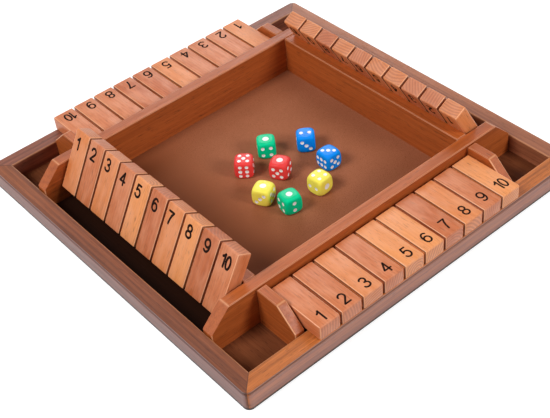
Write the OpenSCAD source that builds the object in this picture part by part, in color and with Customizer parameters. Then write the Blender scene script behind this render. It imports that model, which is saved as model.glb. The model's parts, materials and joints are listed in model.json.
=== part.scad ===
// Four-player shut the box board.
// A mitred frame stands round a base panel. Four inner walls make the dice tray.
// On each side a row of ten number tiles turns on a rod between two row ends:
// down, a tile lies over the frame; up, it leans back on the edge of the tray wall.
// Millimetres. The origin is the centre of the underside, and +Z is up.

/* [Frame] */
// Outer width and depth of the board
board_size = 341; // [336:1:345]
// Width of each mitred frame board
frame_w = 14; // [13:0.5:14.5]
// Height of the frame
frame_h = 20; // [19:0.5:21]
// Radius of the upright outer corners of the frame
frame_corner_r = 5; // [4:0.5:7]
// Radius of the sharper outer top edge
rim_r = 0.5; // [0.3:0.1:1]
// Radius of the eased inner top edge
inner_edge_r = 1; // [0.5:0.1:1.5]
// Radius of the eased bottom edge, outside
foot_r = 1.2; // [0.8:0.1:2]
// Height of the middle of the groove along the side, above the underside
groove_z = 16.9; // [16:0.1:17.5]
// Height of the groove at the surface
groove_h = 2.8; // [1.6:0.1:3]
// Depth of the groove
groove_depth = 0.8; // [0.4:0.1:1.2]
// Thickness of the base panel
base_t = 4; // [3:0.5:5]
// Depth of the rabbet that holds the base panel in the frame
rabbet_w = 4; // [3:0.5:5]

/* [Tray] */
// Clear width and depth of the dice tray
tray_size = 210; // [208:1:212]
// Thickness of the tray walls
wall_t = 10.5; // [10:0.1:11]
// Height of the tray walls above the underside
wall_h = 39.5; // [39:0.1:40.5]
// Radius of the eased top edges of walls and row ends
wall_edge_r = 1; // [0.8:0.1:1.2]
// Thickness of the lining on the tray floor
lining_t = 1; // [0.5:0.1:1.5]

/* [Row ends] */
// Thickness of the separate row-end cheeks
cheek_t = 8.5; // [8:0.5:10]
// How far the cheeks stop below the tops of the walls
cheek_drop = 1; // [0.5:0.1:1.5]
// Length of the flat top of a row end, out from the wall
row_end_flat = 22.5; // [20:0.5:24]
// Height of the low end of the slope, above the underside
row_end_low = 22; // [21.5:0.5:24]
// Radius of the bend between the flat and the slope
row_end_bend_r = 5; // [3:0.5:6]
// Radius of the cheek's top corner beside the wall
cheek_nose_r = 2.5; // [1.5:0.5:3]
// Gap between the row ends and the frame
row_end_gap = 0.5; // [0.2:0.1:0.8]

/* [Number tiles] */
// Width of a tile along its row
tile_w = 19.3; // [19:0.1:19.6]
// Thickness of a tile
tile_t = 13; // [12.5:0.1:13.4]
// Length of a tile from the rod to its free end
tile_reach = 41; // [40:0.5:41.5]
// Length of a tile behind the rod
tile_tail = 12; // [11:0.5:12.5]
// Radius of the eased edges of a tile
tile_edge_r = 1.4; // [0.8:0.1:1.8]
// Gap that a tile keeps from what it comes to rest on
rest_gap = 0.1; // [0.05:0.05:0.2]

/* [Rods] */
// Diameter of the steel rods
rod_d = 3; // [2.5:0.1:4]
// Distance of a rod from the tray wall
rod_offset = 14.5; // [14.5:0.1:15.5]
// Depth of the blind holes that hold the ends of a rod
rod_seat = 6; // [4:0.5:6.5]
// Running clearance of a tile's bore, on the radius
bore_clearance = 0.05; // [0.02:0.01:0.1]

/* [Dice] */
// Width of a die across its faces
die_size = 16; // [15:0.5:16]
// Radius of a die's edges
die_edge_r = 2.6; // [2:0.1:3]
// Radius of the ball that trims a die's corners
die_ball_r = 11.3; // [11:0.1:11.6]
// Radius of a pip at the surface
pip_r = 1.6; // [1.3:0.1:1.8]
// Radius of the large single pip
ace_r = 2.6; // [2:0.1:2.8]
// Depth of the pips
pip_depth = 0.4; // [0.2:0.1:0.6]
// Distance of the pips from the middle of a face, for two to five
pip_spread = 3.5; // [3:0.1:3.8]
// Distance between neighbouring pips in a line of the six
six_step = 4.6; // [4:0.1:4.8]
// Half the distance between the two lines of the six
six_half_gap = 2.85; // [2.5:0.1:3.2]

/* [Hidden] */
tiles_per_row = 10;
half = board_size / 2;
inner_half = half - frame_w;
tray_half = tray_size / 2;
wall_face = tray_half + wall_t;
floor_z = base_t + lining_t;
cheek_h = wall_h - cheek_drop;
row_end_reach = inner_half - row_end_gap;
rod_r = wall_face + rod_offset;
rod_z = frame_h + rest_gap + tile_t / 2;
tile_gap = (tray_size - tiles_per_row * tile_w) / (tiles_per_row + 1);
tile_pitch = tile_w + tile_gap;

// Angle that a tile turns through, from lying on the frame to leaning on the rounded edge of
// the wall: the edge's centre is this far in and up from the rod
edge_in = rod_r - (wall_face - wall_edge_r);
edge_up = wall_h - wall_edge_r - rod_z;
fold = 180 - atan2(edge_up, edge_in)
     - asin((tile_t / 2 + wall_edge_r + rest_gap) / norm([edge_in, edge_up]));

// Each side's name, and its turn from the right-hand side
SIDES = ["front", "right", "back", "left"];
function side_turn(side) = side == "front" ? -90 : side == "right" ? 0 : side == "back" ? 90 : 180;
// The front and back rows stand up, and the other two lie down
function tile_lean(side) = side == "front" || side == "back" ? fold : 0;

// Each die: name, colour, place on the floor, face on top, a side face and the way it looks
DICE = [
    ["red_die_1", "crimson", [-20.2, -15.7], 5, 6, -43],
    ["red_die_2", "crimson", [3.1, 3.8], 1, 5, -59],
    ["yellow_die_1", "gold", [17.7, -26.5], 1, 3, -62],
    ["yellow_die_2", "gold", [40.5, 13.8], 4, 2, -85],
    ["green_die_1", "seagreen", [-26.4, 13.6], 1, 4, -35],
    ["green_die_2", "seagreen", [40.3, -18.3], 1, 4, -101],
    ["blue_die_1", "royalblue", [-8.4, 42.2], 2, 3, -37],
    ["blue_die_2", "royalblue", [22.9, 39.8], 3, 6, -91],
];

walnut = "saddlebrown";
tile_wood = "peru";
round_fn = 48;
margin = 1;

// ---- Outlines ----

// A rectangle with all four corners rounded, centred
module rounded_rectangle(length, width, r) {
    square([length - 2 * r, width], center = true);
    square([length, width - 2 * r], center = true);
    for (x = [-1, 1]) {
        for (y = [-1, 1]) {
            translate([x * (length / 2 - r), y * (width / 2 - r)]) circle(r = r, $fn = round_fn);
        }
    }
}

// A rectangle standing on the axis, with its two top corners rounded
module eased_top(width, height, r) {
    translate([-width / 2, 0]) square([width, height - r]);
    translate([-width / 2 + r, 0]) square([width - 2 * r, height]);
    for (x = [-1, 1]) {
        translate([x * (width / 2 - r), height - r]) circle(r = r, $fn = round_fn);
    }
}

// Rounds one convex corner of the outline in children(): the corner is at point p, and
// the outline leaves it along the unit vectors u and v
module round_corner(p, u, v, r) {
    half_angle = acos(u * v) / 2;
    run = r / tan(half_angle);
    centre = p + (u + v) / norm(u + v) * r / sin(half_angle);
    difference() {
        children();
        polygon([p - (u + v) * margin, p + u * run - v * margin, p + u * run, centre,
                 p + v * run, p + v * run - u * margin]);
    }
    translate(centre) circle(r = r, $fn = 2 * round_fn);
}

// The slope of a row end, as a unit vector down from its top
function slope_down(top) =
    let (run = row_end_reach - wall_face - row_end_flat, fall = top - row_end_low)
    [run, -fall] / norm([run, fall]);

// ---- Frame and base ----

// The outer edge of the frame, as seen on a cut across it: x is measured out to the outer face
module frame_edge(out) {
    groove_r = (groove_h * groove_h / 4 + groove_depth * groove_depth) / (2 * groove_depth);
    round_corner([out, frame_h], [-1, 0], [0, -1], rim_r)
    round_corner([out, 0], [-1, 0], [0, 1], foot_r)
    difference() {
        square([out, frame_h]);
        translate([out + groove_r - groove_depth, groove_z]) circle(r = groove_r, $fn = round_fn);
    }
}

// The whole board as a slab whose outer edge is moulded all the way round
module moulded_slab() {
    straight = board_size - 2 * frame_corner_r;
    for (turn = [0:90:270]) {
        rotate([0, 0, turn]) {
            translate([0, straight / 2, 0]) rotate([90, 0, 0]) linear_extrude(straight) frame_edge(half);
            translate([half - frame_corner_r, half - frame_corner_r, 0]) {
                rotate_extrude($fn = 2 * round_fn) frame_edge(frame_corner_r);
            }
        }
    }
}

// What is taken off the inner top edge of a frame board to ease it
module inner_edge_cut() {
    translate([inner_half, 0, frame_h]) rotate([90, 0, 0]) linear_extrude(board_size, center = true) {
        difference() {
            translate([-margin, -inner_edge_r]) square(inner_edge_r + margin);
            translate([inner_edge_r, -inner_edge_r]) circle(r = inner_edge_r, $fn = round_fn);
        }
    }
}

// One side of the frame, between its two mitres, rabbeted underneath for the base panel
module frame_board(side) {
    rabbet_half = inner_half + rabbet_w;
    color(walnut) rotate([0, 0, side_turn(side)]) intersection() {
        difference() {
            moulded_slab();
            translate([-inner_half, -inner_half, -margin]) {
                cube([2 * inner_half, 2 * inner_half, frame_h + 2 * margin]);
            }
            translate([-rabbet_half, -rabbet_half, -margin]) {
                cube([2 * rabbet_half, 2 * rabbet_half, base_t + margin]);
            }
            inner_edge_cut();
        }
        translate([0, 0, -margin]) linear_extrude(frame_h + 2 * margin) {
            polygon([[0, 0], [board_size, -board_size], [board_size, board_size]]);
        }
    }
}

module base_panel() {
    width = 2 * (inner_half + rabbet_w);
    color("sienna") translate([-width / 2, -width / 2, 0]) cube([width, width, base_t]);
}

module tray_lining() {
    color("#83502f") translate([-tray_half, -tray_half, base_t]) cube([tray_size, tray_size, lining_t]);
}

// ---- Tray walls ----

// A board on edge, centred and standing on the floor, with its upright and top edges eased
module eased_board(length, width, height, r) {
    intersection() {
        linear_extrude(height) rounded_rectangle(length, width, r);
        rotate([90, 0, 90]) linear_extrude(length, center = true) eased_top(width, height, r);
        rotate([90, 0, 0]) linear_extrude(width, center = true) eased_top(length, height, r);
    }
}

// Everything below the slope of a row end, with the slope's two long edges eased. The row end
// is on edge along Y, and slopes down outward.
module below_slope(width, top, r) {
    down = slope_down(top);
    translate([0, wall_face + row_end_flat, top]) rotate([atan2(down.y, down.x), 0, 0]) {
        translate([0, 0, -board_size]) rotate([90, 0, 0]) {
            linear_extrude(2 * board_size, center = true) eased_top(width, board_size, r);
        }
    }
}

// Side view of a long wall: both of its ends run on to the frame and serve as row ends
module long_wall_outline() {
    bend = wall_face + row_end_flat;
    down = slope_down(wall_h);
    round_corner([bend, wall_h], [-1, 0], down, row_end_bend_r)
    round_corner([-bend, wall_h], [1, 0], [-down.x, down.y], row_end_bend_r)
    polygon([
        [-row_end_reach, base_t], [row_end_reach, base_t], [row_end_reach, row_end_low],
        [bend, wall_h], [-bend, wall_h], [-row_end_reach, row_end_low],
    ]);
}

module long_wall(way) {
    color(walnut) difference() {
        translate([way * (tray_half + wall_t / 2), 0, 0]) intersection() {
            rotate([90, 0, 90]) linear_extrude(wall_t, center = true) long_wall_outline();
            rotate([0, 0, 90]) eased_board(2 * row_end_reach, wall_t, wall_h, wall_edge_r);
            for (side = [0, 1]) mirror([0, side, 0]) below_slope(wall_t, wall_h, wall_edge_r);
        }
        for (y = [-rod_r, rod_r]) translate([0, y, rod_z]) rod_blank();
    }
}

module short_wall(way) {
    color(walnut) translate([0, way * (tray_half + wall_t / 2), base_t]) {
        eased_board(tray_size, wall_t, wall_h - base_t, wall_edge_r);
    }
}

// ---- Row ends and rods ----

// Side view of a cheek: x is out from the middle of the board
module cheek_outline() {
    bend = wall_face + row_end_flat;
    round_corner([bend, cheek_h], [-1, 0], slope_down(cheek_h), row_end_bend_r)
    round_corner([wall_face, cheek_h], [1, 0], [0, -1], cheek_nose_r)
    polygon([
        [wall_face, base_t], [row_end_reach, base_t], [row_end_reach, row_end_low],
        [bend, cheek_h], [wall_face, cheek_h],
    ]);
}

module row_end_cheek() {
    difference() {
        translate([0, tray_half + cheek_t / 2, 0]) intersection() {
            rotate([90, 0, 0]) linear_extrude(cheek_t, center = true) cheek_outline();
            translate([(wall_face + row_end_reach) / 2, 0, 0]) {
                eased_board(row_end_reach - wall_face, cheek_t, cheek_h, wall_edge_r);
            }
            rotate([0, 0, -90]) below_slope(cheek_t, cheek_h, wall_edge_r);
        }
        translate([rod_r, 0, rod_z]) rotate([0, 0, 90]) rod_blank();
    }
}

module row_end_cheeks() {
    color(walnut) for (x = [0, 1]) {
        for (y = [0, 1]) mirror([x, 0, 0]) mirror([0, y, 0]) row_end_cheek();
    }
}

// One rod, along X, centred: it is as long as the tray and the blind hole at each end
module rod_blank() {
    length = tray_size + 2 * rod_seat;
    translate([-length / 2, 0, 0]) rotate([0, 90, 0]) cylinder(h = length, d = rod_d, $fn = round_fn);
}

module pivot_rods() {
    color("silver") for (side = SIDES) {
        rotate([0, 0, side_turn(side)]) translate([rod_r, 0, rod_z]) rotate([0, 0, 90]) rod_blank();
    }
}

// ---- Number tiles ----

// A tile lying down, with the middle of its bore at the origin and its free end along +X
module tile_blank() {
    length = tile_reach + tile_tail;
    difference() {
        translate([(tile_reach - tile_tail) / 2, 0, 0]) intersection() {
            translate([0, 0, -tile_t / 2]) {
                linear_extrude(tile_t) rounded_rectangle(length, tile_w, tile_edge_r);
            }
            translate([0, tile_w / 2, 0]) rotate([90, 0, 0]) {
                linear_extrude(tile_w) rounded_rectangle(length, tile_t, tile_edge_r);
            }
            translate([-length / 2, 0, 0]) rotate([90, 0, 90]) {
                linear_extrude(length) rounded_rectangle(tile_w, tile_t, tile_edge_r);
            }
        }
        translate([0, tile_w, 0]) rotate([90, 0, 0]) {
            cylinder(h = 2 * tile_w, r = rod_d / 2 + bore_clearance, $fn = round_fn);
        }
    }
}

// Tile n of a row, counted from the left hand of the player on that side
module tile(side, n) {
    along = (n - (tiles_per_row + 1) / 2) * tile_pitch;
    color(tile_wood) rotate([0, 0, side_turn(side)]) translate([rod_r, along, rod_z]) {
        rotate([0, -tile_lean(side), 0]) tile_blank();
    }
}

// ---- Dice ----

// Outward direction of a face. Opposite faces add up to seven.
function face_axis(n) =
    n == 1 ? [0, 0, 1] : n == 2 ? [1, 0, 0] : n == 3 ? [0, 1, 0] : -face_axis(7 - n);

// Middles of a face's pips, on a die of half width h
function pip_places(n, h) =
    let (s = pip_spread)
    n == 1 ? [[0, 0, h]] :
    n == 2 ? [[h, 0, s], [h, 0, -s]] :
    n == 3 ? [[s, h, -s], [0, h, 0], [-s, h, s]] :
    n == 4 ? [for (x = [-s, s]) for (z = [-s, s]) [x, -h, z]] :
    n == 5 ? concat([[-h, 0, 0]], [for (y = [-s, s]) for (z = [-s, s]) [-h, y, z]]) :
    [for (x = [-six_step, 0, six_step]) for (y = [-six_half_gap, six_half_gap]) [x, y, -h]];

// A cube with eased edges and ball-trimmed corners, and a shallow round dimple for each pip
module die_blank() {
    difference() {
        intersection() {
            for (turn = [[0, 0, 0], [90, 0, 0], [0, 90, 0]]) {
                rotate(turn) translate([0, 0, -die_size / 2]) {
                    linear_extrude(die_size) rounded_rectangle(die_size, die_size, die_edge_r);
                }
            }
            sphere(r = die_ball_r, $fn = 2 * round_fn);
        }
        for (n = [1:6]) {
            r = n == 1 ? ace_r : pip_r;
            ball = (r * r + pip_depth * pip_depth) / (2 * pip_depth);
            for (place = pip_places(n, die_size / 2)) {
                translate(place + face_axis(n) * (ball - pip_depth)) sphere(r = ball, $fn = round_fn);
            }
        }
    }
}

// Turns the blank so that face "top" is up and face "side" looks along the angle "way"
module turned_die(top, side, way) {
    up = face_axis(top);
    out = face_axis(side);
    third = cross(up, out);
    to_up = [0, 0, 1];
    to_out = [cos(way), sin(way), 0];
    to_third = cross(to_up, to_out);
    multmatrix([for (i = [0:2]) [for (j = [0:2])
        to_up[i] * up[j] + to_out[i] * out[j] + to_third[i] * third[j]]]) die_blank();
}

module die(d) {
    color(d[1]) translate([d[2].x, d[2].y, floor_z + die_size / 2]) turned_die(d[3], d[4], d[5]);
}

// ---- The nodes ----

base_panel();
tray_lining();
for (side = SIDES) {
    frame_board(side);
}
long_wall(-1);  // left_long_wall
long_wall(1);  // right_long_wall
short_wall(-1);  // front_short_wall
short_wall(1);  // back_short_wall
row_end_cheeks();
pivot_rods();
for (side = SIDES) {
    for (n = [1:tiles_per_row]) {
        tile(side, n);
    }
}
for (d = DICE) {
    die(d);
}
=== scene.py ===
import json
import math

import bmesh
import bpy
from mathutils import Matrix, Vector


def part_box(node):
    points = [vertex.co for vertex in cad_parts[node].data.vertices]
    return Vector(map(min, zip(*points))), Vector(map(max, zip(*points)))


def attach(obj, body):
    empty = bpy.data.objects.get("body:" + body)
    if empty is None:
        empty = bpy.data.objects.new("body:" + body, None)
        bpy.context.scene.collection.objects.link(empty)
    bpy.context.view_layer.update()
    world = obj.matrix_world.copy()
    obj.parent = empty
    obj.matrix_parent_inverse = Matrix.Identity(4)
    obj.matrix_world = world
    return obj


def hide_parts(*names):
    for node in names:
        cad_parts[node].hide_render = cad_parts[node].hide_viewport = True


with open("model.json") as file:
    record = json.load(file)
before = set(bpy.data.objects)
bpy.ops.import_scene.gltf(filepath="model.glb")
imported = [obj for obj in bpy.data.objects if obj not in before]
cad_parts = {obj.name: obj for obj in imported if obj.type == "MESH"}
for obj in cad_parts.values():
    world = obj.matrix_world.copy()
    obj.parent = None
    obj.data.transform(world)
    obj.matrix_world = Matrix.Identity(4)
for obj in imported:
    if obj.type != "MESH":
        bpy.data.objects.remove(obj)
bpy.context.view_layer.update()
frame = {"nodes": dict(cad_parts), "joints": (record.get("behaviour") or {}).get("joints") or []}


# ---- Camera, light and table ----
# The board stands on a white table and is seen from above, over its front right corner.
# Two lamps, one to each side of the camera, and a weak one behind light it within a dim white surround.

mm = 0.001

CAMERA_YAW = math.radians(53.72)
CAMERA_PITCH = math.radians(42.14)
CAMERA_ROLL = math.radians(-6.46)
CAMERA_TARGET = Vector((27.06, -23.99, 0)) * mm
CAMERA_DISTANCE = 928.9 * mm
SENSOR_WIDTH = 36
PICTURE_WIDTH, FOCAL_LENGTH = 550, 1148.4  # in pixels
SURROUND_LIGHT = 0.2
TABLE_SIZE = 8
TABLE_BELOW = 0.1 * mm
TABLE_GREY = 0.6
TABLE_GLOW = 0.7
# name: (where it stands, width in metres, watts)
LAMPS = {
    "left lamp": (Vector((-0.26, -1.45, 1.63)), 0.8, 32),
    "right lamp": (Vector((1.6, 0.58, 1.06)), 0.6, 19),
    "back lamp": (Vector((-1.3, 0.95, 1.2)), 0.8, 8),
}


def put_in_scene(name, data):
    """A new object at the origin for a mesh, a curve, a lamp or the camera."""
    thing = bpy.data.objects.new(name, data)
    bpy.context.scene.collection.objects.link(thing)
    return thing


def finished_mesh(bm, name):
    """Turns a bmesh into a mesh, and ends the bmesh."""
    mesh = bpy.data.meshes.new(name)
    bm.to_mesh(mesh)
    bm.free()
    return mesh


def new_material(name):
    """A material, its node tree and its shader."""
    material = bpy.data.materials.new(name)
    material.use_nodes = True
    return material, material.node_tree, material.node_tree.nodes["Principled BSDF"]


def fill(node, inputs):
    """Sets a node's inputs to values, or links them to other nodes' outputs."""
    for key, value in inputs.items():
        if isinstance(value, bpy.types.NodeSocket):
            node.id_data.links.new(value, node.inputs[key])
        else:
            node.inputs[key].default_value = value


def add_node(tree, kind, inputs=None, **settings):
    """Adds a shader node, applies its settings and fills its inputs."""
    node = tree.nodes.new("ShaderNode" + kind)
    for name, value in settings.items():
        setattr(node, name, value)
    fill(node, inputs or {})
    return node


def maths(tree, operation, first, second=0.0):
    """The result of a sum on two values or masks."""
    return add_node(tree, "Math", {0: first, 1: second}, operation=operation).outputs[0]


def graded(tree, value, start=0.0, end=1.0, least=0.0, most=1.0, **settings):
    """Runs from least at the value's start to most at its end, and is held beyond them."""
    return add_node(tree, "MapRange", {
        "Value": value, "From Min": start, "From Max": end, "To Min": least, "To Max": most,
    }, **settings).outputs["Result"]


def seen_directly(tree):
    """1 for camera, mirror and see-through rays, and 0 for the light that falls on things."""
    path = add_node(tree, "LightPath").outputs
    seen = maths(tree, "MAXIMUM", path["Is Camera Ray"], path["Is Glossy Ray"])
    return maths(tree, "MAXIMUM", seen, path["Is Transmission Ray"])


toward_camera = Vector((
    math.sin(CAMERA_YAW) * math.cos(CAMERA_PITCH),
    -math.cos(CAMERA_YAW) * math.cos(CAMERA_PITCH),
    math.sin(CAMERA_PITCH),
))
level_right = Vector((math.cos(CAMERA_YAW), math.sin(CAMERA_YAW), 0))
level_up = toward_camera.cross(level_right)
right = math.cos(CAMERA_ROLL) * level_right + math.sin(CAMERA_ROLL) * level_up
up = math.cos(CAMERA_ROLL) * level_up - math.sin(CAMERA_ROLL) * level_right

camera = put_in_scene("camera", bpy.data.cameras.new("camera"))
camera.data.sensor_width = SENSOR_WIDTH
camera.data.lens = FOCAL_LENGTH / PICTURE_WIDTH * SENSOR_WIDTH
camera.matrix_world = (
    Matrix.Translation(CAMERA_TARGET + toward_camera * CAMERA_DISTANCE)
    @ Matrix((right, up, toward_camera)).transposed().to_4x4()
)
bpy.context.scene.camera = camera

bpy.context.scene.view_settings.view_transform = "Standard"
world = bpy.data.worlds.new("white surround")
bpy.context.scene.world = world
world.use_nodes = True
fill(world.node_tree.nodes["Background"], {
    "Color": (1, 1, 1, 1),
    "Strength": graded(world.node_tree, seen_directly(world.node_tree), least=SURROUND_LIGHT),
})

for name, (place, width, watts) in LAMPS.items():
    lamp = put_in_scene(name, bpy.data.lights.new(name, "AREA"))
    lamp.data.shape = "DISK"
    lamp.data.size = width
    lamp.data.energy = watts
    lamp.location = place
    lamp.rotation_euler = place.to_track_quat("Z", "Y").to_euler()

bm = bmesh.new()
bmesh.ops.create_grid(bm, x_segments=1, y_segments=1, size=TABLE_SIZE / 2)
bmesh.ops.translate(bm, vec=(0, 0, -TABLE_BELOW), verts=bm.verts)
table = put_in_scene("table", finished_mesh(bm, "table"))
paper, tree, shader = new_material("white table")
fill(shader, {
    "Base Color": (TABLE_GREY, TABLE_GREY, TABLE_GREY, 1), "Roughness": 0.9, "Specular IOR Level": 0.0,
    "Emission Color": (1, 1, 1, 1), "Emission Strength": graded(tree, seen_directly(tree), most=TABLE_GLOW),
})
table.data.materials.append(paper)


# ---- Base panel ----
# One sheet of stained plywood, let into the rabbet under the frame and glued.
# It shows in the four pockets at the board's corners, and underneath. Painted shade makes it nearly black in
# the trenches under the rows.

TRENCH_REACH = 108 * mm  # the trenches under the rows end about here, and the corner pockets begin
TRENCH_FADE = 8 * mm
# How strongly the trenches under the rows are painted with shade
TRENCH_SHADE = 0.93
FIBRES_SHARE, PORES_SHARE = 0.22, 0.55  # how much each wood's colour follows its fibres and its pores
PORE_DEPTH = 0.06 * mm


def on_piece(tree):
    """The place on the piece, in metres from the middle of the board's underside."""
    return add_node(tree, "TexCoord").outputs["Object"]


def noise(tree, place, scale, detail, **more):
    """Soft clouds, mostly from 0.3 to 0.7. The scale says how many there are to a unit of place."""
    inputs = {"Vector": place, "Scale": scale, "Detail": detail, **more}
    return add_node(tree, "TexNoise", inputs).outputs["Fac"]


def vector_maths(tree, operation, first, second):
    """The result of a sum on two vectors."""
    return add_node(tree, "VectorMath", {0: first, 1: second}, operation=operation).outputs[0]


def blend(tree, share, first, second, **settings):
    """Goes from the first colour to the second by a share. A colour is a tuple or another node's output."""
    first, second = ((*colour, 1) if isinstance(colour, tuple) else colour for colour in (first, second))
    mix = add_node(tree, "Mix", {"Factor": share, 6: first, 7: second}, data_type="RGBA", **settings)
    return mix.outputs[2]


def stained(tree, colour, *stains):
    """Lays stains over a colour in turn. Each is a mask, how strongly it shows, and its own colour."""
    for mask, strength, stain in stains:
        colour = blend(tree, maths(tree, "MULTIPLY", mask, strength), colour, stain)
    return colour


def relief(tree, height, strength, depth):
    """A normal for a fine texture that can be felt."""
    return add_node(tree, "Bump", {
        "Height": height, "Strength": strength, "Distance": depth,
    }).outputs["Normal"]


def effect_group(name, inputs, effect):
    """A shader node group. inputs: {name: kind}. effect(group, given) returns the masks that it puts out."""
    group = bpy.data.node_groups.new(name, "ShaderNodeTree")
    for key, kind in inputs.items():
        group.interface.new_socket(key, in_out="INPUT", socket_type="NodeSocket" + kind)
    masks = effect(group, group.nodes.new("NodeGroupInput").outputs)
    for key in masks:
        group.interface.new_socket(key, in_out="OUTPUT", socket_type="NodeSocketFloat")
    fill(group.nodes.new("NodeGroupOutput"), masks)
    return group


def solid_wood(group, given):
    """Sawn wood with its grain along X: growth rings, broad figure, long streaks, fibres and pores."""

    def in_millimetres(drawn_out):
        """Millimetres across the grain, but so few units to the metre along it that marks are drawn out."""
        return vector_maths(group, "MULTIPLY", given["Vector"], (drawn_out, 1000, 1000))

    plank = in_millimetres(45)
    drift = add_node(group, "TexNoise", {"Vector": plank, "Scale": 0.03, "Detail": 2.0}).outputs["Color"]
    centred = vector_maths(group, "SUBTRACT", drift, (0.5, 0.5, 0.5))
    wandered = add_node(group, "VectorMath", {0: centred, "Scale": given["Wander"]}, operation="SCALE")
    moved = vector_maths(group, "ADD", plank, wandered.outputs[0])
    from_pith = vector_maths(group, "SUBTRACT", moved, given["Pith"])
    across = vector_maths(group, "MULTIPLY", from_pith, (0, 1, 1))
    radius = add_node(group, "VectorMath", {0: across}, operation="LENGTH").outputs["Value"]
    swing = maths(group, "PINGPONG", maths(group, "DIVIDE", radius, given["Ring Width"]), 0.5)
    figure = noise(group, moved, 0.06, 4.0, Roughness=0.55, Distortion=0.4)
    return {
        "Rings": graded(group, swing, 0.0, 0.5, interpolation_type="SMOOTHSTEP"),
        "Figure": graded(group, figure, 0.33, 0.67),
        "Streaks": graded(group, noise(group, in_millimetres(9), 0.3, 3.0, Roughness=0.6), 0.37, 0.63),
        "Fibres": graded(group, noise(group, in_millimetres(28), 1.1, 3.0), 0.32, 0.68),
        "Pores": graded(group, noise(group, in_millimetres(70), 1.7, 1.0), 0.62, 0.72),
    }


wood_group = effect_group("solid wood", {
    "Vector": "Vector", "Pith": "Vector", "Ring Width": "Float", "Wander": "Float",
}, solid_wood)


def varnished(name, light, dark, pore, coordinates, ring_width, wander, pith=(0, 40, 25), rings_share=0.35,
              streaks_share=0.3, roughness=0.42, gloss=0.45, finish=None):
    """A varnished wood. coordinates(tree) gives the place in the plank, in metres with X along the grain."""
    material, tree, shader = new_material(name)
    wood = add_node(tree, "Group", {
        "Vector": coordinates(tree), "Pith": pith, "Ring Width": ring_width, "Wander": wander,
    }, node_tree=wood_group).outputs
    tint = wood["Figure"]
    for feature, share in (("Rings", rings_share), ("Streaks", streaks_share), ("Fibres", FIBRES_SHARE)):
        tint = add_node(tree, "Mix", {
            "Factor": share, "A": tint, "B": wood[feature],
        }, data_type="FLOAT").outputs["Result"]
    colour = stained(tree, blend(tree, tint, light, dark), (wood["Pores"], PORES_SHARE, pore))
    if finish:
        colour = finish(tree, colour, wood)
    surface = maths(tree, "SUBTRACT", wood["Fibres"], wood["Pores"])
    fill(shader, {
        "Base Color": colour,
        "Roughness": graded(tree, wood["Fibres"], least=roughness - 0.05, most=roughness + 0.1),
        "Specular IOR Level": gloss,
        "Normal": relief(tree, surface, 0.35, PORE_DEPTH),
    })
    return material


def laid(turn, shift):
    """Coordinates for a plank whose grain is turned from X, in degrees, cut from elsewhere in the stock."""

    def coordinates(tree):
        return add_node(tree, "Mapping", {
            "Vector": on_piece(tree), "Location": shift, "Rotation": (0, 0, math.radians(-turn)),
        }, vector_type="POINT").outputs["Vector"]

    return coordinates


def wear(node_name, material):
    """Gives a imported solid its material."""
    mesh = frame["nodes"][node_name].data
    mesh.materials.clear()
    mesh.materials.append(material)


def dark_trenches(tree, colour, wood):
    """Painted shade: the colour is made nearly black in the four trenches under the rows, which lie in
    shadow.
    """
    parts = add_node(tree, "SeparateXYZ", {0: on_piece(tree)}).outputs
    nearer = maths(tree, "MINIMUM", *(maths(tree, "ABSOLUTE", parts[axis]) for axis in "XY"))
    trench = graded(tree, nearer, TRENCH_REACH - TRENCH_FADE / 2, TRENCH_REACH + TRENCH_FADE / 2, 1.0, 0.0)
    return stained(tree, colour, (trench, TRENCH_SHADE, (0.008, 0.002, 0.001)))


wear("base_panel", varnished(
    "stained plywood", light=(0.215, 0.066, 0.024), dark=(0.085, 0.022, 0.008), pore=(0.03, 0.009, 0.005),
    coordinates=laid(turn=0, shift=(0.3, 0.11, 0.02)), pith=(0, 0, 400), ring_width=9, wander=30,
    roughness=0.6, gloss=0.08, finish=dark_trenches))


# ---- Frame boards ----
# Four boards of walnut-coloured wood, mitred and glued. Before they are cut, a shallow groove
# is run along the outer side and the inner top edge is eased. Painted shade darkens the groove and the foot.

low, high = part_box("front_frame_board")
OUTER_SIDE, INNER_SIDE, FRAME_TOP = -low.y, -high.y, high.z
GROOVE_HEIGHT = 17.4 * mm
FRAME_GLOSS = 0.35
# How far off each mark starts to fade, and how far off it has gone
FROM_MITRE = 0.175 * mm, 0.56 * mm
# The painted shade in the groove, and then at the foot
FROM_GROOVE = 0.45 * mm, 2.25 * mm
GROOVE_INTO_SIDE = 1.2 * mm, 2 * mm
FOOT_ABOVE_TABLE = 2.1 * mm, 3.5 * mm
# Where the outer sides get a painted reflection of the white table
SHEEN_INTO_SIDE = 0.4 * mm, 1 * mm
SHEEN_BELOW_TOP = 0.8 * mm, 0.4 * mm
# Where the inner edge is rubbed lighter and painted as a highlight
RUBBED_HIGHLIGHT_PAST_INNER_SIDE = 0.7 * mm, 1.3 * mm
RUBBED_HIGHLIGHT_BELOW_TOP = 0.7 * mm, 1.2 * mm
# mark: (how strongly it shows, its colour), the later ones over the earlier
FRAME_MARKS = {
    # the inner edge, rubbed lighter and painted as a highlight
    "Rubbed highlight": (0.35, (0.70, 0.32, 0.14)),
    # a painted reflection of the white table on the outer sides
    "Side sheen": (0.4, (0.40, 0.27, 0.27)),
    # painted shade in the groove under the top edge
    "Groove shade": (0.75, (0.04, 0.014, 0.012)),
    # painted shade at the foot, where the board meets the table
    "Foot shade": (0.97, (0.008, 0.003, 0.002)),
    "Joint": (0.75, (0.03, 0.008, 0.004)),
}
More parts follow.
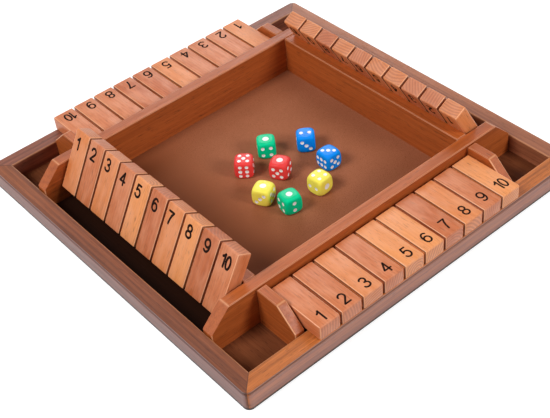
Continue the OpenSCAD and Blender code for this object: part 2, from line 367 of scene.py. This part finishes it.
# side: (turn of the grain, light colour, dark colour, where in the stock it was cut)
FRAME_BOARDS = {
    "front": (0, (0.318, 0.088, 0.026), (0.062, 0.012, 0.004), (0.0, 0.31, 0.1)),
    "right": (90, (0.750, 0.220, 0.044), (0.080, 0.015, 0.005), (0.7, 0.12, 0.3)),
    "back": (0, (0.460, 0.165, 0.075), (0.160, 0.044, 0.020), (1.4, 0.45, 0.2)),
    "left": (90, (0.390, 0.124, 0.070), (0.040, 0.009, 0.005), (2.1, 0.26, 0.6)),
}


def frame_marks(group, given):
    """Where a mitred frame is marked: glue at the joints, painted shade in the groove and at the foot, a
    painted reflection on the outer sides, and an inner edge rubbed lighter and painted as a highlight.
    """

    def less(first, second):
        return maths(group, "SUBTRACT", first, second)

    def apart(first, second):
        return maths(group, "ABSOLUTE", less(first, second))

    def near(distance, start, end):
        """1 up to the start, fading to 0 at the end."""
        return graded(group, distance, start, end, 1.0, 0.0)

    def both(first, second):
        return maths(group, "MULTIPLY", first, second)

    parts = add_node(group, "SeparateXYZ", {0: given["Vector"]}).outputs
    across, along = (maths(group, "ABSOLUTE", parts[axis]) for axis in "XY")
    outward, height = maths(group, "MAXIMUM", across, along), parts["Z"]
    into_side, below_top = less(OUTER_SIDE, outward), less(FRAME_TOP, height)
    return {
        "Joint": near(apart(across, along), *FROM_MITRE),
        "Groove shade": both(near(apart(height, GROOVE_HEIGHT), *FROM_GROOVE), near(into_side, *GROOVE_INTO_SIDE)),
        "Foot shade": near(height, *FOOT_ABOVE_TABLE),
        "Side sheen": both(near(into_side, *SHEEN_INTO_SIDE), near(below_top, *SHEEN_BELOW_TOP)),
        "Rubbed highlight": both(near(less(outward, INNER_SIDE), *RUBBED_HIGHLIGHT_PAST_INNER_SIDE),
                       near(below_top, *RUBBED_HIGHLIGHT_BELOW_TOP)),
    }


frame_marks_group = effect_group("frame marks", {"Vector": "Vector"}, frame_marks)


def framed(tree, colour, wood):
    """Glue lines at the mitres, painted shade in the groove and at the foot, a painted reflection on the
    sides, and an inner edge rubbed lighter and painted as a highlight.
    """
    marks = add_node(tree, "Group", {"Vector": on_piece(tree)}, node_tree=frame_marks_group).outputs
    return stained(tree, colour, *((marks[mark], *look) for mark, look in FRAME_MARKS.items()))


for side, (turn, light, dark, shift) in FRAME_BOARDS.items():
    wear(f"{side}_frame_board", varnished(
        f"{side} frame wood", light, dark, pore=(0.035, 0.009, 0.005), coordinates=laid(turn, shift),
        ring_width=4, wander=12, rings_share=0.25, streaks_share=0.45, gloss=FRAME_GLOSS, finish=framed))


# ---- Tray lining ----
# Brown leatherette with a fine pressed grain, glued flat on the tray's floor. Painted light makes it
# lighter in the open middle, and painted shade darkens it toward the front, the left and the right wall.

SHADED_LINING, LIT_LINING = (0.235, 0.064, 0.022), (0.405, 0.143, 0.070)
CREASE_COLOUR = (0.22, 0.07, 0.028)
PATCHES_PER_METRE, GRAINS_PER_METRE = 22.0, 1500.0
GRAIN_DEPTH = 0.08 * mm
# wall: (the axis toward it, where its painted shade is darkest and where that ends, how much painted light is
# left at the darkest)
WALL_SHADES = {
    "front": ("Y", -68 * mm, -5 * mm, 0.0),
    "left": ("X", -112 * mm, -70 * mm, 0.4),
    "right": ("X", 95 * mm, 25 * mm, 0.7),
}

leatherette, tree, shader = new_material("brown leatherette")
place = on_piece(tree)
parts = add_node(tree, "SeparateXYZ", {0: place}).outputs
clouds = noise(tree, place, PATCHES_PER_METRE, 3.0)
grain = add_node(tree, "TexVoronoi", {
    "Vector": place, "Scale": GRAINS_PER_METRE,
}, feature="DISTANCE_TO_EDGE").outputs["Distance"]
creases = graded(tree, grain, 0.0, 0.18)
# Painted light and shade: the lining is lit in the open middle and shaded where the walls' shadows fall
painted_light = 1.0
for axis, darkest, end, least in WALL_SHADES.values():
    share = graded(tree, parts[axis], darkest, end, least, interpolation_type="SMOOTHSTEP")
    painted_light = maths(tree, "MULTIPLY", share, painted_light)
uneven = blend(tree, clouds, (0.82, 0.81, 0.80), (1.18, 1.19, 1.20))
colour = blend(tree, 1.0, blend(tree, painted_light, SHADED_LINING, LIT_LINING), uneven, blend_type="MULTIPLY")
fill(shader, {
    "Base Color": blend(tree, creases, CREASE_COLOUR, colour),
    "Roughness": graded(tree, clouds, least=0.62, most=0.74),
    "Specular IOR Level": 0.12,
    "Normal": relief(tree, creases, 0.4, GRAIN_DEPTH),
})
wear("tray_lining", leatherette)


# ---- Tray walls and row ends ----
# Boards on edge, glued to the base. The long walls run on past the tray and slope down
# to the frame, as row ends for two of the rows; four short cheeks do this for the others.

WALL_LIGHT, WALL_DARK, WALL_PORE = (0.520, 0.128, 0.026), (0.300, 0.058, 0.008), (0.06, 0.014, 0.004)
SLOPE_LEAN, SLOPE_RISE = 0.687, 0.727  # the way the slopes face, as shares of outward and of up
FLAT_FACE, EASED_EDGE = 0.995, 0.9  # how squarely a flat face and the middle of an easing look along a way
# node: (turn of the grain, where in the stock it was cut)
WALLS = {
    "left_long_wall": (90, (0.2, 0.05, 0.4)),
    "right_long_wall": (90, (0.9, 0.61, 0.1)),
    "front_short_wall": (0, (1.3, 0.22, 0.7)),
    "back_short_wall": (0, (1.9, 0.41, 0.5)),
    "row_end_cheeks": (0, (2.6, 0.17, 0.9)),
}


def square_cut_edges(group, given):
    """Boards with flat faces along X, Y and Z and a slope at the ends: 1 on the easing between the faces."""
    facing = add_node(group, "VectorMath", {0: given["Normal"]}, operation="ABSOLUTE").outputs[0]
    flattest = 0.0
    for way in ((1, 0, 0), (0, 1, 0), (0, 0, 1), (SLOPE_LEAN, 0, SLOPE_RISE), (0, SLOPE_LEAN, SLOPE_RISE)):
        squarely = add_node(group, "VectorMath", {0: facing, 1: way}, operation="DOT_PRODUCT")
        flattest = maths(group, "MAXIMUM", squarely.outputs["Value"], flattest)
    return {"Edge": graded(group, flattest, FLAT_FACE, EASED_EDGE)}


square_cut_group = effect_group("square-cut edges", {"Normal": "Vector"}, square_cut_edges)


def rubbed_through(tree, colour, wood):
    """The stain is rubbed thin along the eased edges of the walls, and painted lighter there as a highlight.
    """
    normal = add_node(tree, "TexCoord").outputs["Normal"]
    edge = add_node(tree, "Group", {"Normal": normal}, node_tree=square_cut_group).outputs["Edge"]
    # Wear and a painted highlight: the eased edges are made lighter
    return stained(tree, colour, (edge, 0.75, (0.88, 0.45, 0.24)))


for name, (turn, shift) in WALLS.items():
    wear(name, varnished(
        name.replace("_", " ") + " wood", WALL_LIGHT, WALL_DARK, WALL_PORE, coordinates=laid(turn, shift),
        pith=(0, 60, -20), ring_width=5, wander=16, streaks_share=0.4, finish=rubbed_through))


# ---- Pivot rods ----
# Drawn steel rods, hidden in the tiles and held in blind holes in the row ends.

steel, tree, shader = new_material("drawn steel")
scratches = noise(tree, on_piece(tree), 900.0, 3.0)
fill(shader, {
    "Base Color": blend(tree, scratches, (0.42, 0.41, 0.40), (0.62, 0.61, 0.60)),
    "Roughness": graded(tree, scratches, least=0.25, most=0.45),
    "Metallic": 1.0,
})
wear("pivot_rods", steel)


# ---- Number tiles ----
# Forty blocks of lighter, reddish wood, sawn from four sticks, with all edges rounded and
# a bore for the rod. They are varnished, and each turns on the rod by itself.

TILE_EDGE = 1.4 * mm
ROD_BORE = 3.1 * mm
FLAT_ON = 0.99  # a face looks straight along an axis when this much of its normal does
GAP_SHADE_START, GAP_SHADE_END = 0.6, 0.85  # how far round toward the next tile the painted shade starts and is full
RUBBED_HIGHLIGHT_START, RUBBED_HIGHLIGHT_END = 0.4, 0.7  # and the same for the band rubbed lighter and painted as a highlight
SHARP_TILE_EDGE = math.radians(40)
# The way each row's free ends point, in degrees from X
SIDE_TURN = {"front": -90, "right": 0, "back": 90, "left": 180}
STANDING_SIDES = ("front", "back")
# Which stick each tile of a row is sawn from, from the player's left
STICKS = {
    "front": "light rosy light rosy pale deep light pale deep rosy".split(),
    "right": "rosy rosy light rosy pale pale deep light rosy pale".split(),
    "back": "light rosy rosy light light rosy light deep light light".split(),
    "left": "light rosy rosy rosy light deep deep rosy rosy rosy".split(),
}
# stick: (light colour, dark colour, pith)
STICK_WOODS = {
    "pale": ((0.860, 0.330, 0.105), (0.730, 0.245, 0.072), (0, 44, 12)),
    "light": ((0.760, 0.255, 0.078), (0.610, 0.175, 0.046), (0, 26, -18)),
    "rosy": ((0.640, 0.196, 0.070), (0.500, 0.128, 0.038), (0, -34, 22)),
    "deep": ((0.575, 0.150, 0.044), (0.420, 0.090, 0.020), (0, 18, 40)),
}
# How much further on in the stock the next row and the next tile are cut
NEXT_ROW_ALONG = 1000 * mm
NEXT_ALONG, NEXT_ASIDE, NEXT_UP = 73 * mm, 21 * mm, 17 * mm
# mark: (how strongly it shows, its colour), the later ones over the earlier
TILE_MARKS = {
    "patches": (0.3, (0.84, 0.39, 0.225)),
    # a painted sheen on the sawn ends, standing in for the white surround reflected in them
    "end": (0.25, (0.62, 0.30, 0.21)),
    "ringed": (0.5, (0.38, 0.12, 0.06)),
    # edges rubbed lighter and painted as a highlight
    "edge": (0.6, (0.96, 0.52, 0.30)),
    # painted shade in the narrow gaps between the tiles
    "gap_shade": (0.8, (0.110, 0.024, 0.008)),
}


def cut_away(blank, tool, **settings):
    """The mesh that is left of a blank once the tool's shape is cut out of it. Both are used up."""
    blank, tool = (put_in_scene(mesh.name, mesh) for mesh in (blank, tool))
    cut = blank.modifiers.new("cut", "BOOLEAN")
    cut.object = tool
    for name, value in settings.items():
        setattr(cut, name, value)
    bpy.context.view_layer.update()
    mesh = bpy.data.meshes.new_from_object(blank.evaluated_get(bpy.context.evaluated_depsgraph_get()))
    for used in (blank, tool):
        bpy.data.objects.remove(used)
    return mesh


low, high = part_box("right_tile_1")
hinges = {joint["child"]: joint for joint in frame["joints"] if joint["type"] == "hinge"}
rod = Vector(hinges["right_tile_1"]["pos_m"])
tile_reach, tile_tail, tile_thickness = high.x - rod.x, rod.x - low.x, high.z - low.z

bm = bmesh.new()
bmesh.ops.create_cube(bm, size=1)
bmesh.ops.scale(bm, vec=high - low, verts=bm.verts)
bmesh.ops.translate(bm, vec=((tile_reach - tile_tail) / 2, 0, 0), verts=bm.verts)
gap_shade_mark, rubbed_highlight_mark, end_mark = (bm.faces.layers.float.new(name) for name in ("gap_shade", "edge", "end"))
bmesh.ops.bevel(bm, geom=bm.edges[:], offset=TILE_EDGE, segments=4, profile=0.5, affect="EDGES", material=-1)
for face in bm.faces:
    sideways, endways = abs(face.normal.y), abs(face.normal.x)
    # Painted shade lies on the deeper half of the rounding beside the next tile, but not on the flat side
    stain = min(max((sideways - GAP_SHADE_START) / (GAP_SHADE_END - GAP_SHADE_START), 0), 1)
    face[gap_shade_mark] = stain if sideways < FLAT_ON else 0
    face[rubbed_highlight_mark] = 1 if RUBBED_HIGHLIGHT_START < sideways < RUBBED_HIGHLIGHT_END else 0
    face[end_mark] = 1 if endways > FLAT_ON else 0
tile_blank = finished_mesh(bm, "tile blank")

bm = bmesh.new()
bmesh.ops.create_cone(bm, cap_ends=True, segments=32, radius1=ROD_BORE / 2, radius2=ROD_BORE / 2,
                      depth=2 * (high.y - low.y), matrix=Matrix.Rotation(math.pi / 2, 4, "X"))
bored = cut_away(tile_blank, finished_mesh(bm, "drill"))


def sawn_stick(tree):
    """Each tile carries its own place in the stick, so neighbours never match."""
    return add_node(tree, "Attribute", attribute_name="grain").outputs["Vector"]


def patchy_stain(group, given):
    """Stain that took unevenly: 1 where the wood stayed paler and pinker."""
    drawn_out = vector_maths(group, "MULTIPLY", given["Vector"], (0.4, 1, 1))
    return {"Patches": graded(group, noise(group, drawn_out, 130.0, 3.0), 0.38, 0.64)}


patchy_group = effect_group("patchy stain", {"Vector": "Vector"}, patchy_stain)


def tile_surface(tree, colour, wood):
    """Pinker patches, bold rings and a painted sheen on the sawn ends, edges rubbed lighter and painted as a
    highlight, and painted shade in the gaps.
    """
    masks = {mark: add_node(tree, "Attribute", attribute_name=mark).outputs["Fac"]
             for mark in ("end", "edge", "gap_shade")}
    masks["ringed"] = maths(tree, "MULTIPLY", masks["end"], wood["Rings"])
    stain = add_node(tree, "Group", {"Vector": sawn_stick(tree)}, node_tree=patchy_group)
    masks["patches"] = stain.outputs["Patches"]
    return stained(tree, colour, *((masks[mark], *look) for mark, look in TILE_MARKS.items()))


stick_materials = {
    stick: varnished(
        f"{stick} tile wood", light, dark, pore=(0.16, 0.045, 0.018), coordinates=sawn_stick, pith=pith,
        ring_width=2.6, wander=7, rings_share=0.5, streaks_share=0.15, finish=tile_surface)
    for stick, (light, dark, pith) in STICK_WOODS.items()
}


def place_on_rod(name, turn, lean):
    """Takes the blank, which lies along X with its bore at the origin, to a tile's place on its rod."""
    middle = (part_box(name)[0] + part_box(name)[1]) / 2
    on_rod = Vector(hinges[name]["pos_m"])
    along = Vector((-math.sin(turn), math.cos(turn), 0))
    on_rod += along * (middle - on_rod).dot(along)
    return Matrix.Translation(on_rod) @ Matrix.Rotation(turn, 4, "Z") @ Matrix.Rotation(-lean, 4, "Y")


def sawn_tile(number, sawn):
    """One bored block with its own place in the stock, and no painted gap shade where its row ends."""
    bm = bmesh.new()
    bm.from_mesh(bored)
    gap_shade_mark = bm.faces.layers.float["gap_shade"]
    open_side = {1: -1, 10: 1}.get(number, 0)  # the first and last tile have no neighbour here
    for face in bm.faces:
        if face.calc_center_median().y * open_side > 0:
            face[gap_shade_mark] = 0
    grain = bm.verts.layers.float_vector.new("grain")
    for vertex in bm.verts:
        vertex[grain] = vertex.co + sawn
    return bm


tile_places = {}
for row, (side, turn) in enumerate(SIDE_TURN.items()):
    for number in range(1, 11):
        name = f"{side}_tile_{number}"
        # A standing tile leans back by the whole of its range
        lean = math.radians(hinges[name]["range_deg"][1]) if side in STANDING_SIDES else 0
        place = place_on_rod(name, math.radians(turn), lean)
        tile_places[side, number] = place
        in_stick = row * NEXT_ROW_ALONG + number * NEXT_ALONG
        bm = sawn_tile(number, Vector((in_stick, number % 3 * NEXT_ASIDE, number % 4 * NEXT_UP)))
        bmesh.ops.transform(bm, matrix=place, verts=bm.verts)
        tile = put_in_scene(f"{name}_wood", finished_mesh(bm, f"{name}_wood"))
        tile.data.materials.append(stick_materials[STICKS[side][number - 1]])
        tile.data.shade_smooth()
        tile.data.set_sharp_from_angle(angle=SHARP_TILE_EDGE)
        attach(tile, name)
        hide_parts(name)


# ---- Numbers ----
# Near-black numerals of one even stroke, stamped by hand on both faces of each tile. The player
# reads the lower face when the tile is up, and the upper face when it lies down.

# Lengths in this section are in millimetres, and each number is scaled where it is stamped.
# The stamp was pressed harder on some rows, which widened its stroke
STROKES = {"front": 2.0, "right": 1.55, "back": 1.8, "left": 1.6}
FIGURE_HEIGHT, FIGURE_WIDTH = 9.8, 5.4  # to the middle of the stroke
INK_DEPTH = 0.12
TEN_GAP = 2.0
ARC_STEP = 15  # degrees
# How far each number of a row stands to the player's right of the tile's middle
STAMPED_ASIDE = {
    "front": (-2.9, -2.0, -2.6, -2.4, -2.9, -2.0, -3.1, -1.4, -1.0, 0.3),
    "right": (-1.1, 0.4, 0.8, 0.9, 1.3, 1.5, 0.9, 0.9, 0.7, 0.9),
    "back": (0.4, 0.9, 0.7, 0.5, 0.9, 1.1, 0.6, 0.8, 0.4, 0.7),
    "left": (-2.1, -2.2, -1.7, -1.8, -1.2, -1.5, -1.6, -2.0, -2.3, -1.5),
}
# How far it stands from the tile's free end, to the middle of the stroke
STAMPED_IN = {
    "front": (5.9, 5.2, 4.4, 5.4, 5.7, 5.9, 6.4, 5.5, 5.3, 6.0),
    "right": (3.6, 4.3, 5.0, 5.0, 5.5, 5.8, 5.9, 6.1, 6.9, 6.4),
    "back": (5.6, 5.9, 5.4, 5.8, 5.5, 5.9, 5.7, 5.3, 5.8, 5.6),
    "left": (5.0, 5.4, 5.2, 5.3, 5.5, 5.1, 5.6, 5.0, 5.3, 5.4),
}


def arc(x, y, across, up, start, end):
    """Points on part of an oval, from one angle to another, in degrees."""
    steps = max(2, round(abs(end - start) / ARC_STEP))
    angles = [math.radians(start + (end - start) * step / steps) for step in range(steps + 1)]
    return [(x + across * math.cos(a), y + up * math.sin(a)) for a in angles]


SIX = [arc(3.1, 5.2, 3.0, 4.6, 52, 180) + [(0.1, 3.0)], arc(2.75, 3.05, 2.65, 3.05, 90, 450)]
NUMERALS = {
    "0": [arc(2.2, 4.9, 2.2, 4.9, 90, 450)],
    "1": [[(0, 7.5), (1.3, 8.4), (2.3, 9.8)], [(2.3, 9.8), (2.3, 0)]],
    "2": [arc(2.7, 7.05, 2.6, 2.75, 170, -38) + [(0.1, 0)], [(0.1, 0), (5.4, 0)]],
    "3": [arc(2.6, 7.45, 2.3, 2.35, 155, -90), arc(2.6, 2.55, 2.8, 2.55, 90, -158)],
    "4": [[(4.1, 0), (4.1, 9.8)], [(4.1, 9.8), (0, 2.9)], [(0, 2.9), (5.8, 2.9)]],
    "5": [[(4.9, 9.8), (1.3, 9.8)], [(1.3, 9.8), (0.65, 5.3)], arc(2.6, 3.2, 2.8, 3.2, 132, -155)],
    "6": SIX,
    "7": [[(0.1, 9.8), (5.4, 9.8)], [(5.4, 9.8), (3.7, 7.0), (2.5, 3.6), (1.9, 0)]],
    "8": [arc(2.7, 7.4, 2.25, 2.4, 90, 450), arc(2.7, 2.55, 2.7, 2.55, 90, 450)],
    "9": [[(FIGURE_WIDTH - x, FIGURE_HEIGHT - y) for x, y in stroke] for stroke in SIX],
}


def numeral(text):
    """The strokes of a number side by side, centred, in millimetres with its base at y = 0."""
    strokes, start = [], 0
    for figure in text:
        strokes += [[(start + x, y) for x, y in stroke] for stroke in NUMERALS[figure]]
        start = max(x for stroke in strokes for x, y in stroke) + TEN_GAP
    middle = (start - TEN_GAP + min(x for stroke in strokes for x, y in stroke)) / 2
    return [[(x - middle, y) for x, y in stroke] for stroke in strokes]


def printed(text, width):
    """A number as flattened strokes with round ends, lying on z = 0."""
    curve = bpy.data.curves.new(text, "CURVE")
    curve.dimensions = "3D"
    curve.bevel_depth = width / 2
    curve.bevel_resolution = 1
    curve.use_fill_caps = True
    bm = bmesh.new()
    for stroke in numeral(text):
        spline = curve.splines.new("POLY")
        spline.points.add(len(stroke) - 1)
        for point, (x, y) in zip(spline.points, stroke):
            point.co = (x, y, 0, 1)
        for x, y in (stroke[0], stroke[-1]):
            bmesh.ops.create_uvsphere(bm, u_segments=12, v_segments=6, radius=width / 2,
                                      matrix=Matrix.Translation((x, y, 0)))
    line = bpy.data.objects.new(text, curve)
    bm.from_mesh(line.to_mesh())
    bpy.data.objects.remove(line)
    bmesh.ops.scale(bm, vec=(1, 1, INK_DEPTH / width), verts=bm.verts)
    bmesh.ops.recalc_face_normals(bm, faces=bm.faces)
    return finished_mesh(bm, f"number {text}")


ink, tree, shader = new_material("burnt brown ink")
patchy = noise(tree, on_piece(tree), 700.0, 2.0)
fill(shader, {
    "Base Color": blend(tree, patchy, (0.008, 0.003, 0.002), (0.028, 0.011, 0.007)),
    "Roughness": graded(tree, patchy, least=0.6, most=0.8),
    "Specular IOR Level": 0.05,
})

printed_numbers = {(side, number): printed(str(number), STROKES[side]) for side, number in tile_places}
half_thickness = tile_thickness / mm / 2
for (side, number), place in tile_places.items():
    outer = tile_reach / mm - STAMPED_IN[side][number - 1]
    aside = STAMPED_ASIDE[side][number - 1]
    # Upper face: the figures stand toward the rod. Lower face: they stand toward the free end.
    upper = Matrix(((0, -1, 0, outer), (1, 0, 0, aside), (0, 0, 1, half_thickness), (0, 0, 0, 1)))
    lower = Matrix(((0, 1, 0, outer - FIGURE_HEIGHT), (1, 0, 0, aside), (0, 0, -1, -half_thickness),
                    (0, 0, 0, 1)))
    bm = bmesh.new()
    for face_place in (upper, lower):
        start = len(bm.verts)
        bm.from_mesh(printed_numbers[side, number])
        bm.verts.ensure_lookup_table()
        bmesh.ops.transform(bm, matrix=place @ Matrix.Scale(mm, 4) @ face_place, verts=bm.verts[start:])
    figures = put_in_scene(f"{side}_number_{number}", finished_mesh(bm, f"{side}_number_{number}"))
    figures.data.materials.append(ink)
    figures.data.shade_smooth()
    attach(figures, f"{side}_tile_{number}")


# ---- Dice ----
# Eight moulded plastic dice, tumbled so that edges and corners are round, with shallow
# dimples painted white. The one has a larger dimple. They lie loose in the tray.

DIE_SIZE, DIE_BALL = 16 * mm, 11.6 * mm  # the cube, and the radius of the ball that cuts its corners
ROUNDNESS = 12  # the higher, the tighter the edges' curves
DIE_CUTS = 22
CROWN = 0.06 * mm  # how far the faces have fallen away where the pips are
PIP_RADIUS, ACE_RADIUS, PIP_DEPTH = 1.6 * mm, 2.6 * mm, 0.4 * mm
ASIDE, SIX_STEP, SIX_HALF_GAP = 3.5 * mm, 4.6 * mm, 2.85 * mm
GLOW_REACH = 4 * mm  # how far light spreads inside the plastic
WAVE_DEPTH = 0.05 * mm
SHARP_DIE_EDGE = math.radians(22)

# Each face's outward direction, and where its dimples are, on that face
FACE_AXES = {1: (0, 0, 1), 2: (1, 0, 0), 3: (0, 1, 0), 4: (0, -1, 0), 5: (-1, 0, 0), 6: (0, 0, -1)}
FACE_OUT = DIE_SIZE / 2 - CROWN
PIPS = {
    1: [(0, 0, FACE_OUT)],
    2: [(FACE_OUT, 0, z) for z in (ASIDE, -ASIDE)],
    3: [(step * -ASIDE, FACE_OUT, step * ASIDE) for step in (-1, 0, 1)],
    4: [(x, -FACE_OUT, z) for x in (-ASIDE, ASIDE) for z in (-ASIDE, ASIDE)],
    5: [(-FACE_OUT, 0, 0)] + [(-FACE_OUT, y, z) for y in (-ASIDE, ASIDE) for z in (-ASIDE, ASIDE)],
    6: [(x, y, -FACE_OUT) for x in (-SIX_STEP, 0, SIX_STEP) for y in (-SIX_HALF_GAP, SIX_HALF_GAP)],
}
# colour: (its plastic, and where it is deeper)
PLASTIC_COLOURS = {
    "red": ((0.88, 0.066, 0.062), (0.80, 0.050, 0.046)),
    "yellow": ((0.99, 0.90, 0.140), (0.95, 0.80, 0.090)),
    "green": ((0.0, 0.68, 0.33), (0.0, 0.57, 0.25)),
    "blue": ((0.002, 0.30, 0.98), (0.001, 0.235, 0.85)),
}
# die: (face on top, a side face, the way that face looks in degrees)
DICE = {
    "red_die_1": (5, 6, -43), "red_die_2": (1, 5, -59),
    "yellow_die_1": (1, 3, -62), "yellow_die_2": (4, 2, -85),
    "green_die_1": (1, 4, -35), "green_die_2": (1, 4, -101),
    "blue_die_1": (2, 3, -37), "blue_die_2": (3, 6, -91),
}

bm = bmesh.new()
bmesh.ops.create_cube(bm, size=DIE_SIZE)
bmesh.ops.subdivide_edges(bm, edges=bm.edges, cuts=DIE_CUTS, use_grid_fill=True)
for vertex in bm.verts:
    way = vertex.co.normalized()
    cube_part = sum(abs(value / (DIE_SIZE / 2)) ** ROUNDNESS for value in way)
    vertex.co = way * (cube_part + DIE_BALL ** -ROUNDNESS) ** (-1 / ROUNDNESS)
die_blank = finished_mesh(bm, "die blank")
die_blank.materials.append(None)  # the plastic's place, filled for each die

pip_paint, tree, shader = new_material("white pip paint")
brushed = noise(tree, on_piece(tree), 900.0, 2.0)
fill(shader, {
    "Base Color": blend(tree, brushed, (0.90, 0.95, 0.95), (0.94, 0.99, 0.99)), "Roughness": 0.35,
    "Subsurface Weight": 0.5, "Subsurface Radius": (1, 1, 1), "Subsurface Scale": GLOW_REACH,
})

bm = bmesh.new()
for face, places in PIPS.items():
    radius = ACE_RADIUS if face == 1 else PIP_RADIUS
    ball = (radius ** 2 + PIP_DEPTH ** 2) / (2 * PIP_DEPTH)
    outward = Vector(FACE_AXES[face])
    level = Vector((0, 0, 1)).rotation_difference(outward).to_matrix().to_4x4()
    for place in places:
        bmesh.ops.create_uvsphere(bm, u_segments=32, v_segments=24, radius=ball, matrix=(
            Matrix.Translation(Vector(place) + outward * (ball - PIP_DEPTH)) @ level))
dimple_cutter = finished_mesh(bm, "dimple cutter")
dimple_cutter.materials.append(pip_paint)
dimpled = cut_away(die_blank, dimple_cutter, use_self=True, material_mode="TRANSFER")


def plastic(name, colour, deep):
    """Polished plastic that lets in a little light, uneven in tone, with a tumbled surface's fine waves."""
    material, tree, shader = new_material(name)
    place = on_piece(tree)
    clouds = noise(tree, place, 160.0, 2.0)
    fill(shader, {
        "Base Color": blend(tree, clouds, deep, colour),
        "Roughness": graded(tree, clouds, least=0.05, most=0.1),
        "Specular IOR Level": 0.1,
        "Subsurface Weight": 0.25, "Subsurface Radius": (1, 1, 1), "Subsurface Scale": GLOW_REACH,
        "Normal": relief(tree, noise(tree, place, 420.0, 1.0), 0.1, WAVE_DEPTH),
    })
    return material


plastics = {name: plastic(f"{name} plastic", *colours) for name, colours in PLASTIC_COLOURS.items()}
for name, (top, side_face, way) in DICE.items():
    up_axis, out_axis = Vector(FACE_AXES[top]), Vector(FACE_AXES[side_face])
    to_out = Vector((math.cos(math.radians(way)), math.sin(math.radians(way)), 0))
    to_up = Vector((0, 0, 1))
    before = Matrix((up_axis, out_axis, up_axis.cross(out_axis))).transposed()
    after = Matrix((to_up, to_out, to_up.cross(to_out))).transposed()
    low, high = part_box(name)
    mesh = dimpled.copy()
    mesh.name = f"{name}_shell"
    mesh.transform(Matrix.Translation((low + high) / 2) @ (after @ before.transposed()).to_4x4())
    colour_name = name.split("_")[0]
    for index, material in enumerate(mesh.materials):
        if material != pip_paint:
            mesh.materials[index] = plastics[colour_name]
    mesh.shade_smooth()
    mesh.set_sharp_from_angle(angle=SHARP_DIE_EDGE)
    die = put_in_scene(f"{name}_shell", mesh)
    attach(die, name)
    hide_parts(name)
